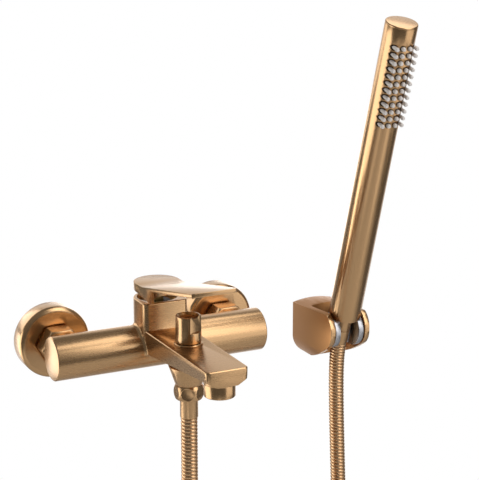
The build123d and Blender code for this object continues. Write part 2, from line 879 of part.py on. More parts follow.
def coil_point(quarter):
    """A point of the coil and its direction, counted in quarter turns from the left side, going down."""
    turn = pi + quarter * pi / 2
    point = Vector(coil_x + coil_r * cos(turn), coil_start_y + coil_pitch * quarter / 4, coil_z + coil_r * sin(turn))
    way = Vector(-sin(turn) * coil_r * pi / 2, coil_pitch / 4, cos(turn) * coil_r * pi / 2)
    return point, way.normalized()


def coil_path():
    """From the foot of the drop into the coil, round it, and up to the foot of the riser."""
    stops = [(Vector(0, diverter_y, drop_foot), Vector(0, 0, -1))]
    stops += [coil_point(quarter) for quarter in range(2 * coil_half_turns + 1)]
    stops.append((Vector(*riser_points[-1]), riser_path() % 1 * -1))
    arcs = []
    for (start, start_way), (end, end_way) in zip(stops, stops[1:]):
        arcs += biarc(start, start_way, end, end_way)
    return arcs


def hose_drop():
    return ribbed(Line((0, diverter_y, ferrule_foot), (0, diverter_y, drop_foot)))


def riser_path():
    """From the upper ferrule down to the foot of the riser, in straight runs joined by tangent arcs."""
    start = (HANDSET * Pos(0, 0, upper_ferrule_foot)).position
    lead = (HANDSET * Pos(0, 0, upper_ferrule_foot - riser_lead)).position
    points = [start, lead, *[Vector(*point) for point in riser_points]]
    radii = []
    for before, at, after in zip(points, points[1:], points[2:]):
        half_turn = radians((at - before).get_angle(after - at) / 2)
        shorter = min((at - before).length, (after - at).length)
        radii.append(0.45 * shorter * cos(half_turn) / sin(half_turn))
    print("riser radii", [round(radius) for radius in radii])
    return FilletPolyline(*points, radius=radii)


def hose_riser():
    return ribbed(riser_path())


def hose_coil():
    """The length put away: one unbroken faceted tube, entered from the drop and left into the riser."""
    arcs = coil_path()
    path = Wire([edge for arc in arcs for edge in arc.edges()])
    section = Plane(origin=path @ 0, x_dir=(1, 0, 0), z_dir=path % 0) * RegularPolygon(hose_r, cord_sides)
    tube = sweep(section, path=path)
    steps = 400
    points = [path @ (step / steps) for step in range(steps + 1)]
    apart = round(3 * hose_d * steps / path.length)
    gaps = [
        (points[i] - points[j]).length - hose_d
        for i in range(steps + 1)
        for j in range(i + apart, steps + 1)
    ]
    print("coil length", round(path.length), "least gap to itself", round(min(gaps), 2))
    whole = path.length + riser_path().length + ferrule_foot - drop_foot
    whole += washer_foot - ferrule_foot + inlet_thread_foot - hose_washer - upper_ferrule_foot
    print("hose length with its fittings", round(whole))
    print("coil radii", sorted({round(edge.radius) for arc in arcs for edge in arc.edges()}))
    return tube


# Hand shower


def handset_radius(height, inset=0.0):
    """The tube's outer radius at a height along it, less an inset."""
    share = (height - handset_start) / (handset_end - handset_start)
    return handset_r + share * (handset_top_r - handset_r) - inset


def nozzle_places():
    """Each nozzle as a height and a distance across. All of them point straight to the front."""
    for row in range(nozzle_rows):
        for column in range(nozzle_columns):
            yield nozzle_first + nozzle_pitch * row, nozzle_across * (column - (nozzle_columns - 1) / 2)


def nozzle_plane(height, across, depth):
    """A plane at a nozzle that looks to the front, at a depth from the tube's axis."""
    return Plane(origin=(across, -depth, height), x_dir=(1, 0, 0), z_dir=(0, -1, 0))


def handset_tube():
    """Slim, slightly tapered tube, open at the foot, with a hole for each nozzle."""
    end = handset_end - cap_rim
    tube = turned(
        [
            (handset_radius(handset_start, handset_wall), handset_start),
            (handset_radius(handset_start), handset_start),
            (handset_radius(end), end),
            (handset_radius(end, handset_wall), end),
        ]
    )
    hole = RegularPolygon(nozzle_r + thread_gap, nozzle_sides)
    holes = [
        nozzle_plane(height, across, handset_wall) * extrude(hole, amount=handset_r)
        for height, across in nozzle_places()
    ]
    return HANDSET * (tube - holes)


def end_cap():
    """Flat disc that closes the tube, with a plug that goes down into it."""
    foot = handset_end - cap_rim
    rim_r = handset_radius(foot)
    plug_r = handset_radius(foot, handset_wall) - running_gap
    cap = turned(
        [
            (0, foot - cap_plug),
            (plug_r, foot - cap_plug),
            (plug_r, foot),
            (rim_r, foot),
            (rim_r, handset_end - 0.5),
            (rim_r - 0.5, handset_end),
            (0, handset_end),
        ]
    )
    return HANDSET * cap


def strip_bounds():
    top = nozzle_first + nozzle_pitch * (nozzle_rows - 1)
    return nozzle_first - strip_margin, top + strip_margin


def nozzle_strip():
    """Silicone pad inside the wall, with one slim nozzle through each hole."""
    foot, top = strip_bounds()
    outer = handset_radius(top, handset_wall + thread_gap)
    front = Pos(0, -handset_r / 2) * Rectangle(2 * strip_half, handset_r)
    pad = drop(outer, foot, top) & upright(front, foot, top)
    nozzles = []
    for height, across in nozzle_places():
        tip = handset_radius(height) + nozzle_proud
        root = RegularPolygon(nozzle_r, nozzle_sides)
        end = Pos(0, 0, tip) * RegularPolygon(nozzle_tip_r, nozzle_sides)
        nozzles.append(nozzle_plane(height, across, 0) * loft([root, end], ruled=True))
    return HANDSET * (pad + nozzles - drop(outer - strip_thickness, foot - 1, top + 1))


def handset_waterway():
    """Plastic pipe from the inlet up behind the nozzles, closed at the top and slotted at the front."""
    foot, top = strip_bounds()
    outer = handset_radius(top, handset_wall + thread_gap) - strip_thickness - running_gap
    pipe = drop(outer, inlet_body_top, top + 2)
    pipe -= drop(outer - waterway_wall, inlet_body_top - 1, top)
    window = Pos(0, -outer, (foot + top) / 2) * Box(outer, outer, top - foot - 2 * strip_margin)
    return HANDSET * (pipe - window)


def handset_inlet():
    """Threaded adapter fixed in the foot of the tube."""
    body_r = handset_radius(inlet_body_top, handset_wall + running_gap)
    inlet = turned(
        [
            (nipple_bore_r, inlet_thread_foot),
            (nipple_r, inlet_thread_foot),
            (nipple_r, inlet_body_foot),
            (body_r, inlet_body_foot),
            (body_r, inlet_body_top),
            (nipple_bore_r, inlet_body_top),
        ]
    )
    return HANDSET * inlet


def handset_washer():
    return HANDSET * ring(hose_washer_r, nipple_bore_r, inlet_thread_foot - hose_washer, inlet_thread_foot)


def upper_hose_nut():
    """Nut inside the tube's foot that narrows to a slim neck below it."""
    seat = inlet_thread_foot - hose_washer - ferrule_flange - running_gap
    nut = turned(
        [
            (nipple_r + thread_gap, upper_nut_top),
            (upper_nut_r, upper_nut_top),
            (upper_nut_r, upper_nut_shoulder),
            (neck_top_r, neck_top),
            (neck_foot_r, neck_foot + ring_groove),
            (ferrule_stem_r + running_gap, neck_foot + ring_groove),
            (ferrule_stem_r + running_gap, seat),
            (nipple_r + thread_gap, seat),
        ]
    )
    return HANDSET * nut


def upper_ferrule():
    """Sleeve crimped on the hose's upper end, with a stem and flange inside the nut."""
    top = inlet_thread_foot - hose_washer
    sleeve = turned(
        [
            (ferrule_bore_r, top),
            (hose_washer_r, top),
            (hose_washer_r, top - ferrule_flange),
            (ferrule_stem_r, top - ferrule_flange),
            (ferrule_stem_r, neck_foot),
            (neck_foot_r - 0.1, neck_foot),
            (upper_ferrule_foot_r, upper_ferrule_foot),
            (ferrule_bore_r, upper_ferrule_foot),
        ]
    )
    return HANDSET * sleeve


# Wall bracket


def rounded_shield(half, top, straight):
    """A flat outline with upright sides and a half-round foot."""
    foot_y = top - straight
    foot = ThreePointArc((half, foot_y), (0, foot_y - half), (-half, foot_y))
    return foot, Polyline((-half, foot_y), (-half, top)), Polyline((half, top), (half, foot_y))


def bracket_side():
    """The side outline: a round nose about the pivot, a straight back on the wall and a full underside."""
    nose = CenterArc((pivot_y, bracket_pivot_z), cheek_r, 0, 360)
    wall_edge = Line((0, bracket_crown), (0, -bracket_height))
    side = make_hull([*wall_edge.edges(), *nose.edges()])
    turn = radians(-90 - bracket_chin)
    chin = (pivot_y + cheek_r * cos(turn), bracket_pivot_z + cheek_r * sin(turn))
    underside = TangentArc(chin, (0, -bracket_height), tangent=(-sin(turn), cos(turn)))
    return side + make_face(underside + Line((0, -bracket_height), chin))


def bracket_blank():
    """Outer form: the side outline crossed with a crowned shield, which climbs from the wall to the nose."""
    distance = hypot(pivot_y, bracket_pivot_z)
    climb = tan(asin(cheek_r / distance) - atan2(-bracket_pivot_z, -pivot_y))
    reach = cheek_r - pivot_y + 1
    side = Pos(bracket_x, 0, 0) * extrude(Plane.YZ * bracket_side(), amount=bracket_half, both=True)
    raised = Pos(0, 0, bracket_crown) * side
    crown = ThreePointArc((-bracket_half, 0), (0, bracket_crown), (bracket_half, 0))
    foot, left, right = rounded_shield(bracket_half, 0, bracket_straight)
    top = make_face(crown + Polyline((bracket_half, 0), (bracket_half, -bracket_height),
                                     (-bracket_half, -bracket_height), (-bracket_half, 0)))
    plane = Plane(origin=(bracket_x, 0, 0), x_dir=(1, 0, 0), z_dir=(0, -1, 0))
    upper = extrude(plane * top, amount=reach, dir=Vector(0, -1, climb))
    shield = make_face(foot + left + Line((-bracket_half, 0), (-bracket_half, cheek_r))
                       + Line((-bracket_half, cheek_r), (bracket_half, cheek_r))
                       + Line((bracket_half, cheek_r), (bracket_half, 0)) + right)
    return (side + raised) & upper & extrude(plane * shield, amount=reach)


def bracket_shell():
    """Bronze shell with two cheeks, a slot between them and a pocket behind for the wall plate."""
    shell = bracket_blank()
    slot_length = 2 * cheek_r - pivot_y + slot_back_y
    slot = Pos(bracket_x, slot_back_y - slot_length / 2) * Rectangle(2 * cheek_inner, slot_length)
    slot = fillet(slot.vertices().group_by(Axis.Y)[-1], slot_corner_r)
    shell -= upright(slot, -2 * bracket_height, 2 * bracket_height)
    shell -= pocket_blank(0, pocket_depth)
    for side in (-1, 1):
        start = bracket_x + side * (cheek_inner - 1)
        end = bracket_x + side * (cheek_inner + trunnion_length)
        shell -= rod(trunnion_r + running_gap, (start, pivot_y, bracket_pivot_z), (end, pivot_y, bracket_pivot_z))
    return shell - grub_hole(-2 * bracket_height)


def grub_hole(foot):
    """The upright hole for the grub screw that holds the shell on the wall plate."""
    top = pocket_foot + 2 * screw_block_height
    return rod(bracket_grub_r + running_gap, (bracket_x, bracket_grub_y, foot), (bracket_x, bracket_grub_y, top))


def pocket_blank(inset, depth):
    """The pocket's form, or the wall plate's when it is drawn in by an inset."""
    foot, left, right = rounded_shield(pocket_half - inset, -pocket_wall - inset, pocket_straight - inset)
    face = make_face(foot + left + Line(left @ 1, right @ 0) + right)
    plane = Plane(origin=(bracket_x, 0, 0), x_dir=(1, 0, 0), z_dir=(0, -1, 0))
    return extrude(plane * face, amount=depth)


def screw_heights():
    centre = (pocket_foot - pocket_wall) / 2 + 3
    return centre - bracket_screw_spacing / 2, centre + bracket_screw_spacing / 2


def bracket_plate():
    """Plate screwed to the wall, with a block below for the shell's grub screw."""
    plate = pocket_blank(seat_gap, plate_thickness)
    block = Pos(bracket_x, bracket_grub_y, pocket_foot) * Box(
        2 * screw_block_half, screw_block, screw_block_height, align=MIN_Z
    )
    plate += block & pocket_blank(seat_gap, plate_thickness + screw_block)
    for height in screw_heights():
        plate -= rod(bracket_screw_r + thread_gap, (bracket_x, 1, height), (bracket_x, -pocket_depth, height))
    return plate - grub_hole(-2 * bracket_height)


def bracket_screws():
    screws = []
    for height in screw_heights():
        head = rod(bracket_screw_head_r, (bracket_x, -plate_thickness - bracket_screw_head, height),
                   (bracket_x, -plate_thickness, height))
        shank = rod(bracket_screw_r, (bracket_x, -plate_thickness, height),
                    (bracket_x, bracket_screw_length, height))
        cross = Pos(bracket_x, -plate_thickness - bracket_screw_head, height)
        recess = Box(4.4, 2.4, 1.0) + Box(1.0, 2.4, 4.4)
        screws.append(head + shank - cross * recess)
    return Compound(children=screws)


def bracket_grub_screw():
    top = pocket_foot + screw_block_height - 1
    foot = top - bracket_grub_length
    return rod(bracket_grub_r, (bracket_x, bracket_grub_y, foot), (bracket_x, bracket_grub_y, top))


def swivel_holder():
    """Barrel that tilts between the cheeks, with a collar, a bore and an open front slot for the hose."""
    half = cheek_inner - washer_thickness
    start = (bracket_x - half, pivot_y, bracket_pivot_z)
    end = (bracket_x + half, pivot_y, bracket_pivot_z)
    barrel = rod(holder_r, start, end)
    barrel = chamfer(barrel.edges().filter_by(GeomType.CIRCLE), 0.6)
    collar = HANDSET * drop(holder_collar_r, bracket_pivot_z, handset_start - seat_gap)
    barrel += collar & Pos(bracket_x, pivot_y) * Box(2 * half, 4 * cheek_r, 4 * cheek_r)
    barrel -= HANDSET * drop(2 * cheek_r, handset_start - seat_gap, 2 * cheek_r)
    barrel -= HANDSET * drop(holder_bore_r, -4 * cheek_r, handset_start + 1)
    slot = Pos(0, -2 * cheek_r, 0) * Box(holder_slot, 4 * cheek_r, 6 * cheek_r)
    barrel -= HANDSET * slot
    for side in (-1, 1):
        face = bracket_x + side * half
        tip = bracket_x + side * (cheek_inner + trunnion_length - seat_gap)
        barrel += rod(trunnion_r, (face - side, pivot_y, bracket_pivot_z), (tip, pivot_y, bracket_pivot_z))
    return barrel


def friction_washers():
    washers = []
    for side in (-1, 1):
        near = bracket_x + side * (cheek_inner - washer_thickness)
        far = bracket_x + side * cheek_inner
        disc = rod(washer_r, (near, pivot_y, bracket_pivot_z), (far, pivot_y, bracket_pivot_z))
        hole = rod(trunnion_r + running_gap, (near - side, pivot_y, bracket_pivot_z),
                   (far + side, pivot_y, bracket_pivot_z))
        washers.append(disc - hole)
    return Compound(children=washers)


pieces = {
    "mixer_body": mixer_body(),
    "cartridge_seal": cartridge_seal(),
    "cartridge_base": cartridge_base(),
    "fixed_disc": fixed_disc(),
    "moving_disc": moving_disc(),
    "disc_slider": disc_slider(),
    "cartridge_housing": cartridge_housing(),
    "cartridge_rotor": cartridge_rotor(),
    "lever_pin": lever_pin(),
    "cartridge_lever": cartridge_lever(),
    "retaining_nut": retaining_nut(),
    "handle": handle(),
    "handle_grub_screw": handle_grub_screw(),
    "index_plug": index_plug(),
    "diverter_guide": diverter_guide(),
    "diverter_knob": diverter_knob(),
    "diverter_stem": diverter_stem(),
    "diverter_plunger": diverter_plunger(),
    "plunger_seal": plunger_seal_ring(),
    "aerator_housing": aerator_housing(),
    "aerator_insert": aerator_insert(),
    "aerator_seal": aerator_seal_ring(),
    "outlet_nipple": outlet_nipple(),
    "hose_washer": hose_washer_ring(),
    "hose_nut": hose_nut(),
    "lower_ferrule": lower_ferrule(),
    "hose_drop": hose_drop(),
    "hose_coil": hose_coil(),
    "hose_riser": hose_riser(),
    "handset_tube": handset_tube(),
    "handset_end_cap": end_cap(),
    "nozzle_strip": nozzle_strip(),
    "handset_waterway": handset_waterway(),
    "handset_inlet": handset_inlet(),
    "handset_washer": handset_washer(),
    "upper_hose_nut": upper_hose_nut(),
    "upper_ferrule": upper_ferrule(),
    "bracket_shell": bracket_shell(),
    "bracket_plate": bracket_plate(),
    "bracket_screws": bracket_screws(),
    "bracket_grub_screw": bracket_grub_screw(),
    "swivel_holder": swivel_holder(),
    "friction_washers": friction_washers(),
}
for name, side in (("left", -1), ("right", 1)):
    pieces["flange_" + name] = flange(side)
    pieces["eccentric_union_" + name] = eccentric_union(side)
    pieces["union_nut_" + name] = union_nut(side)
    pieces["union_washer_" + name] = union_washer(side)
    pieces["check_valve_" + name] = check_valve(side)

os.makedirs("parts", exist_ok=True)
for name, piece in pieces.items():
    export_step(piece, f"parts/{name}.step")
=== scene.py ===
# %% [markdown]
# # A bath mixer in brushed bronze
#
# The mixer hangs on a wall: a cross tube with two wall flanges, a lever tower, a flat spout with a pull-up
# diverter, a ribbed metal hose, and a stick hand shower in a tilting bracket. The solids come in finished, in
# metres, with +X to the right, +Z up and the face of the wall at Y = 0. This notebook gives them softened edges, a
# real finish and light.

# %% Load the solids
import json
import math

import bpy
from mathutils import Matrix, Vector

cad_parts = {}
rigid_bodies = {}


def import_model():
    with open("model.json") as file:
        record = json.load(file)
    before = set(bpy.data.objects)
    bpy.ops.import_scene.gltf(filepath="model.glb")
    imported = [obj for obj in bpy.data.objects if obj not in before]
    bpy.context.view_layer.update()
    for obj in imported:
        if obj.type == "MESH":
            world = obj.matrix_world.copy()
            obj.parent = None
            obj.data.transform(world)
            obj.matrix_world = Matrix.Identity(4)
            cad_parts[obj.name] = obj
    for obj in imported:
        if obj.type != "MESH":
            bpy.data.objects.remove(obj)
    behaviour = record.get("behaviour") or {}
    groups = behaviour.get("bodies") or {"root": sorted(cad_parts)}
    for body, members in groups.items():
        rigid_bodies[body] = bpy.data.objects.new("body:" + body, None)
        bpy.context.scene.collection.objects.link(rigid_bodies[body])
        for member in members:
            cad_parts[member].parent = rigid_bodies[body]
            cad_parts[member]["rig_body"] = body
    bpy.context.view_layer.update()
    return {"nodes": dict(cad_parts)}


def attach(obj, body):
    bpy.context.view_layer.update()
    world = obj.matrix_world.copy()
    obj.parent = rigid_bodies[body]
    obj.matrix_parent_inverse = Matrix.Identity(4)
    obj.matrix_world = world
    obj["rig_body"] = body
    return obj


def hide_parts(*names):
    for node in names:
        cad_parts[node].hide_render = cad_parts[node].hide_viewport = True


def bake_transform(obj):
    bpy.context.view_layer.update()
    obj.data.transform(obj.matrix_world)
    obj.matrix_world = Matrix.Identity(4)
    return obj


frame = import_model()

# %% [markdown]
# ## Camera
#
# The picture is taken from the left and a little above, through a long lens, so the tube's two ends look almost
# equal. A camera can be turned by three Euler angles, but two points are easier to read and to change: where it
# stands, and where it looks. `to_track_quat` works out the turn between them. It does so for lamps too, because
# cameras and lamps both face along their own -Z.


# %% Camera
def turned_to(place, aim):
    """The rotation of a camera or lamp that stands at one point and faces another."""
    return (aim - place).to_track_quat("-Z", "Y").to_euler()


eye = Vector((-0.4455, -1.1074, 0.3741))
looks_at = Vector((0.08231, -0.0400, 0.07464))
bpy.ops.object.camera_add(location=eye, rotation=turned_to(eye, looks_at))
camera = bpy.context.object
camera.name = "camera"
camera.data.lens = 109.34
camera.data.sensor_width = 36.0
camera.data.clip_start = 0.01
camera.data.clip_end = 50.0
bpy.context.scene.camera = camera
print("camera stands", round((looks_at - eye).length, 3), "m from the point it looks at")

# %% [markdown]
# ## Nodes in one call
#
# A material is a net of nodes. Linking it by hand in a script takes three lines for each node, so one call does all
# of it. The settings come first, because they can change which sockets a node has. Then each socket gets its value,
# or a link if the value comes out of another node.


# %% Nodes in one call
def make(tree, kind, settings=None, inputs=None, output=0):
    """Adds a node: its settings first, then the value of or the link to each socket."""
    node = tree.nodes.new(kind)
    for name, value in (settings or {}).items():
        if name == "stops":
            set_stops(node.color_ramp, value)
        else:
            setattr(node, name, value)
    for key, value in (inputs or {}).items():
        if isinstance(value, Flow):
            tree.links.new(value.socket, node.inputs[key])
        else:
            node.inputs[key].default_value = value
    return Flow(tree, node.outputs[output]) if node.outputs else None


def set_stops(ramp, stops):
    """Gives a colour ramp its stops. A stop's tone is a colour, or one number for a grey."""
    while len(ramp.elements) < len(stops):
        ramp.elements.new(0.5)
    for element, (place, tone) in zip(ramp.elements, stops):
        element.position = place
        element.color = (*tone, 1.0) if isinstance(tone, tuple) else (tone, tone, tone, 1.0)


# %% [markdown]
# ## Sums on sockets
#
# Shader maths is easier to read as a formula than as a chain of Math nodes. This small class holds one output
# socket. Adding, subtracting or multiplying two of them adds the Math node that does the sum, and the reflected
# forms let a plain number stand first. What has no sign of its own, such as a square root, is named in a call.


# %% Sums on sockets
def math_node(tree, operation, *values):
    """One Math node with these values or links in its sockets."""
    return make(tree, "ShaderNodeMath", {"operation": operation}, dict(enumerate(values)))


class Flow:
    """An output socket of a material, which can be used in plain arithmetic."""

    def __init__(self, tree, socket):
        self.tree = tree
        self.socket = socket

    def __add__(self, other):
        return math_node(self.tree, "ADD", self, other)

    def __radd__(self, other):
        return math_node(self.tree, "ADD", other, self)

    def __sub__(self, other):
        return math_node(self.tree, "SUBTRACT", self, other)

    def __rsub__(self, other):
        return math_node(self.tree, "SUBTRACT", other, self)

    def __mul__(self, other):
        return math_node(self.tree, "MULTIPLY", self, other)

    def __rmul__(self, other):
        return math_node(self.tree, "MULTIPLY", other, self)


# %% [markdown]
# ## Start and end of a material
#
# Each material starts as an empty net and ends in one Principled shader, which knows metal, plastic and rubber
# alike. Three more helpers are used again and again: a soft step, which turns a measure into a mask from 0 to 1, a
# change from one colour to another by such a mask, and the two tones that a noise pattern moves between.


# %% Start and end of a material
def new_material(name):
    """An empty material and its net of nodes."""
    material = bpy.data.materials.new(name)
    material.use_nodes = True
    tree = material.node_tree
    tree.nodes.clear()
    return material, tree


def shade(tree, inputs):
    """Ends a material in one Principled shader."""
    surface = make(tree, "ShaderNodeBsdfPrincipled", {}, inputs)
    make(tree, "ShaderNodeOutputMaterial", {}, {"Surface": surface})


def soft_step(tree, value, start, end, low=0.0, high=1.0):
    """The low number where the value is under start, the high one where it is over end."""
    return make(tree, "ShaderNodeMapRange", {"interpolation_type": "SMOOTHSTEP"},
                {"Value": value, "From Min": start, "From Max": end, "To Min": low, "To Max": high})


def mix_colours(tree, share, first, second):
    """The first colour where share is 0, the second where it is 1. Sockets 6, 7 and 2 are this node's for colour."""
    return make(tree, "ShaderNodeMix", {"data_type": "RGBA"}, {0: share, 6: first, 7: second}, output=2)


def two_tones(tone, darker, lighter):
    """A darker and a lighter tone of a colour."""
    return tuple(darker * part for part in tone), tuple(min(1.0, lighter * part) for part in tone)


# %% [markdown]
# ## Brushed bronze
#
# A brushed coat is metal with thousands of fine scratches, all along one direction. They could be painted, but a
# picture blurs up close. Stretching a noise pattern gives such scratches at any distance: a low scale along the
# brush makes them long, and a high one across it makes them fine. The same pattern shifts the roughness, the colour
# and, through a Bump node, the surface itself. A slow second noise, like a thin cloud, keeps the tone alive.
#
# The measures come first, so that the look can be changed without reading the nodes. A noise scale counts patterns
# to the metre: 1000 gives specks a millimetre apart.

# %% Measures of the brushing
scratch_long = 90.0  # noise scale along the brush: low, so a scratch is about a centimetre long
scratch_fine = 2600.0  # noise scale across the brush: high, so a scratch is under half a millimetre wide
cloud_scale = 38.0  # noise scale of the slow changes
tone_dark, tone_light = 0.80, 1.18  # the scratches' darkest and lightest tone, as shares of the metal's colour
fleck_in_tone, haze_in_tone = 0.18, 0.10  # how far the scratches and the slow changes shift the colour
fleck_in_gloss, haze_in_gloss = 0.10, 0.04  # and how far they shift the roughness
bump_height = 0.0002  # the height in metres that a full step of a pattern stands for
painted_hole_shade = (0.035, 0.02, 0.012, 1.0)  # painted shade: the dark colour round each nozzle, standing in for the shade in its hole
print("scratches about", round(1000 / scratch_long, 1), "mm long and", round(1000 / scratch_fine, 2), "mm wide")


# %% Brushed bronze
def brushed(name, tone, along, roughness, scratch=0.03, turn=(0.0, 0.0, 0.0), cross=scratch_fine, shadow=None):
    """A metal brushed along one axis of the piece. tone is its linear colour, shadow a maker of a mask where shade
    is painted into the colour.
    """
    material, tree = new_material(name)
    place = make(tree, "ShaderNodeTexCoord", output="Object")
    stretch = [cross, cross, cross]
    stretch["xyz".index(along)] = scratch_long
    turned = make(tree, "ShaderNodeMapping", {}, {"Vector": place, "Rotation": turn})
    grain_place = make(tree, "ShaderNodeMapping", {}, {"Vector": turned, "Scale": tuple(stretch)})
    grain = make(tree, "ShaderNodeTexNoise", {}, {"Vector": grain_place, "Scale": 1.0, "Detail": 3.0})
    cloud = make(tree, "ShaderNodeTexNoise", {}, {"Vector": place, "Scale": cloud_scale, "Detail": 2.0})
    fleck = grain - 0.5
    haze = cloud - 0.5
    low, high = two_tones(tone, tone_dark, tone_light)
    colour = make(tree, "ShaderNodeValToRGB", {"stops": [(0.2, low), (0.8, high)]},
                  {"Fac": fleck * fleck_in_tone + haze * haze_in_tone + 0.5})
    if shadow:
        # Painted shade: where the mask is 1 the colour turns dark, standing in for the shade that falls into the
        # nozzle holes.
        colour = mix_colours(tree, shadow(tree, place), colour, painted_hole_shade)
    bump = make(tree, "ShaderNodeBump", {}, {"Strength": scratch, "Distance": bump_height, "Height": grain})
    gloss = fleck * fleck_in_gloss + haze * haze_in_gloss + roughness
    shade(tree, {"Base Color": colour, "Metallic": 1.0, "Roughness": gloss, "Normal": bump})
    return material


# %% [markdown]
# ## One bronze, five ways of brushing
#
# A part is brushed the way it is held to the belt: the tube along its length, the lever and the flanges from back
# to front, and the upright rings up and down. The hand shower leans, so its pattern is turned back by the lean
# before it is stretched. The bracket is satin: a browner coat that mirrors less.

# %% One bronze, five ways of brushing
bronze_tone = (0.57, 0.352, 0.178)
satin_tone = (0.53, 0.26, 0.10)
handset_lean = math.radians(17.05)
handset_turn = (-handset_lean, 0.0, 0.0)
bronze_x = brushed("bronze, brushed along the tube", bronze_tone, "x", 0.27)
bronze_y = brushed("bronze, brushed along the spout", bronze_tone, "y", 0.24, 0.04)
bronze_z = brushed("bronze, brushed upright", bronze_tone, "z", 0.24, 0.04)
bronze_stick = brushed("bronze, brushed along the hand shower", bronze_tone, "z", 0.25, turn=handset_turn)
bronze_satin = brushed("satin bronze of the bracket", satin_tone, "x", 0.44, 0.05)
print("bronze materials", [material.name for material in bpy.data.materials if "bronze" in material.name])

# %% [markdown]
# ## Painted shade round the nozzles
#
# Each nozzle comes up through a hole with a slightly sunken rim, and shade falls into it. The holes could be cut,
# all forty-eight, but at this size only their shade shows, so the shade is painted into the colour as a dark ring
# round each nozzle. The holes stand in even rows and columns, so the painted shade needs no picture either: the
# place on the tube is counted in rows and columns, the whole steps are taken away, and what is left says how far a
# point is from the nearest nozzle.

# %% Where the nozzles stand
handset_foot = Vector((0.175, -0.058, 0.0))
nozzle_first, nozzle_pitch, nozzle_rows = 0.1908, 0.0060, 12
nozzle_across, nozzle_columns = 0.0060, 4
shade_ring_full, shade_ring_gone = 0.34, 0.47  # the painted shade's edge fades between these shares of the pitch
print("nozzles start", nozzle_first, "m up the hand shower, in", nozzle_rows, "rows of", nozzle_columns)

# %% [markdown]
# The pattern is first moved to the hand shower's foot and turned upright. There the count of rows is the height over
# the first nozzle divided by the pitch, and what rounding takes away is the way to the nearest row. Columns are
# counted alike. Three limits keep the painted shade off the rest of the tube: its ends, its sides and its back.


# %% Painted shade round the nozzles
def painted_nozzle_shade(tree, place):
    """Mask of the painted shade in the nozzle holes: 1 under each nozzle and on a narrow ring round it, 0 elsewhere.
    """
    moved = make(tree, "ShaderNodeVectorMath", {"operation": "SUBTRACT"}, {0: place, 1: tuple(handset_foot)})
    upright = make(tree, "ShaderNodeMapping", {}, {"Vector": moved, "Rotation": handset_turn})
    across, depth, height = (make(tree, "ShaderNodeSeparateXYZ", {}, {0: upright}, output=axis) for axis in "XYZ")
    row = (height - nozzle_first) * (1 / nozzle_pitch)
    column = across * (1 / nozzle_across) + nozzle_columns / 2 - 0.5
    in_row = row - math_node(tree, "ROUND", row)
    in_column = column - math_node(tree, "ROUND", column)
    away = math_node(tree, "SQRT", in_row * in_row + in_column * in_column)
    from_middle_row = math_node(tree, "ABSOLUTE", row - (nozzle_rows - 1) / 2)
    from_middle_column = math_node(tree, "ABSOLUTE", column - (nozzle_columns - 1) / 2)
    limits = ((from_middle_row, nozzle_rows / 2), (from_middle_column, nozzle_columns / 2), (depth, 0.0))
    # Painted shade: a dark ring round each nozzle, where the hole's shade falls.
    rims = soft_step(tree, away, shade_ring_full, shade_ring_gone, 1.0, 0.0)
    for measure, most in limits:
        rims = rims * math_node(tree, "LESS_THAN", measure, most)
    return rims


# The hand shower's tube gets this bronze, with shade painted round each nozzle.
bronze_with_painted_shade = brushed("bronze with painted shade round the nozzles", bronze_tone, "z", 0.25, turn=handset_turn, shadow=painted_nozzle_shade)
print(bronze_with_painted_shade.name, "has", len(bronze_with_painted_shade.node_tree.nodes), "nodes")

# %% [markdown]
# ## Cast, moulded and lapped surfaces
#
# The rest is quieter. Nothing real is one flat colour, so each of these has a little fine noise in its colour, its
# gloss and its height. They differ so little in kind that one recipe makes them all, and only the colour, the
# roughness, the strength of the mottling and the metal switch change.

# %% Cast, moulded and lapped surfaces
plain_grain = 900.0  # noise scale of the fine grain: about a millimetre from speck to speck
plain_relief = 0.05  # how strongly the grain shows as height
plain_gloss = 0.2  # how far it shifts the roughness


def plain(name, tone, roughness, metallic=0.0, variation=0.12):
    """A moulded, cast or rubber surface: fine grain in colour, gloss and height."""
    material, tree = new_material(name)
    place = make(tree, "ShaderNodeTexCoord", output="Object")
    grain = make(tree, "ShaderNodeTexNoise", {}, {"Vector": place, "Scale": plain_grain, "Detail": 4.0})
    low, high = two_tones(tone, 1 - variation, 1 + variation)
    colour = make(tree, "ShaderNodeValToRGB", {"stops": [(0.3, low), (0.7, high)]}, {"Fac": grain})
    bump = make(tree, "ShaderNodeBump", {}, {"Strength": plain_relief, "Distance": bump_height, "Height": grain})
    gloss = (grain - 0.5) * plain_gloss + roughness
    shade(tree, {"Base Color": colour, "Metallic": metallic, "Roughness": gloss, "Normal": bump})
    return material


# %% [markdown]
# ## The plain materials
#
# Threads, stems and unions are bare machined brass. The holder that grips the hand shower has a silver-grey coat.
# The nozzles are soft silicone, the seals black rubber, and the cartridge is moulded plastic round two ceramic
# discs, which are lapped so flat that they seal against each other. Screws and the wall plate are stainless steel.

# %% The plain materials
machined_brass = plain("machined brass", (0.60, 0.44, 0.17), 0.3, 1.0)
holder_grey = plain("silver-grey holder", (0.42, 0.42, 0.44), 0.3, 1.0, variation=0.06)
nozzle_silicone = plain("grey silicone", (0.74, 0.69, 0.65), 0.42, variation=0.05)
soft_black = plain("black rubber", (0.015, 0.015, 0.016), 0.6)
white_plastic = plain("white moulded plastic", (0.72, 0.72, 0.69), 0.4, variation=0.04)
brown_plastic = plain("brown moulded plastic", (0.10, 0.048, 0.018), 0.5)
black_plastic = plain("black moulded plastic", (0.012, 0.010, 0.009), 0.65)
ceramic = plain("lapped ceramic", (0.82, 0.81, 0.78), 0.15, variation=0.03)
stainless = plain("stainless steel", (0.52, 0.52, 0.53), 0.28, 1.0)
print("materials", len(bpy.data.materials))

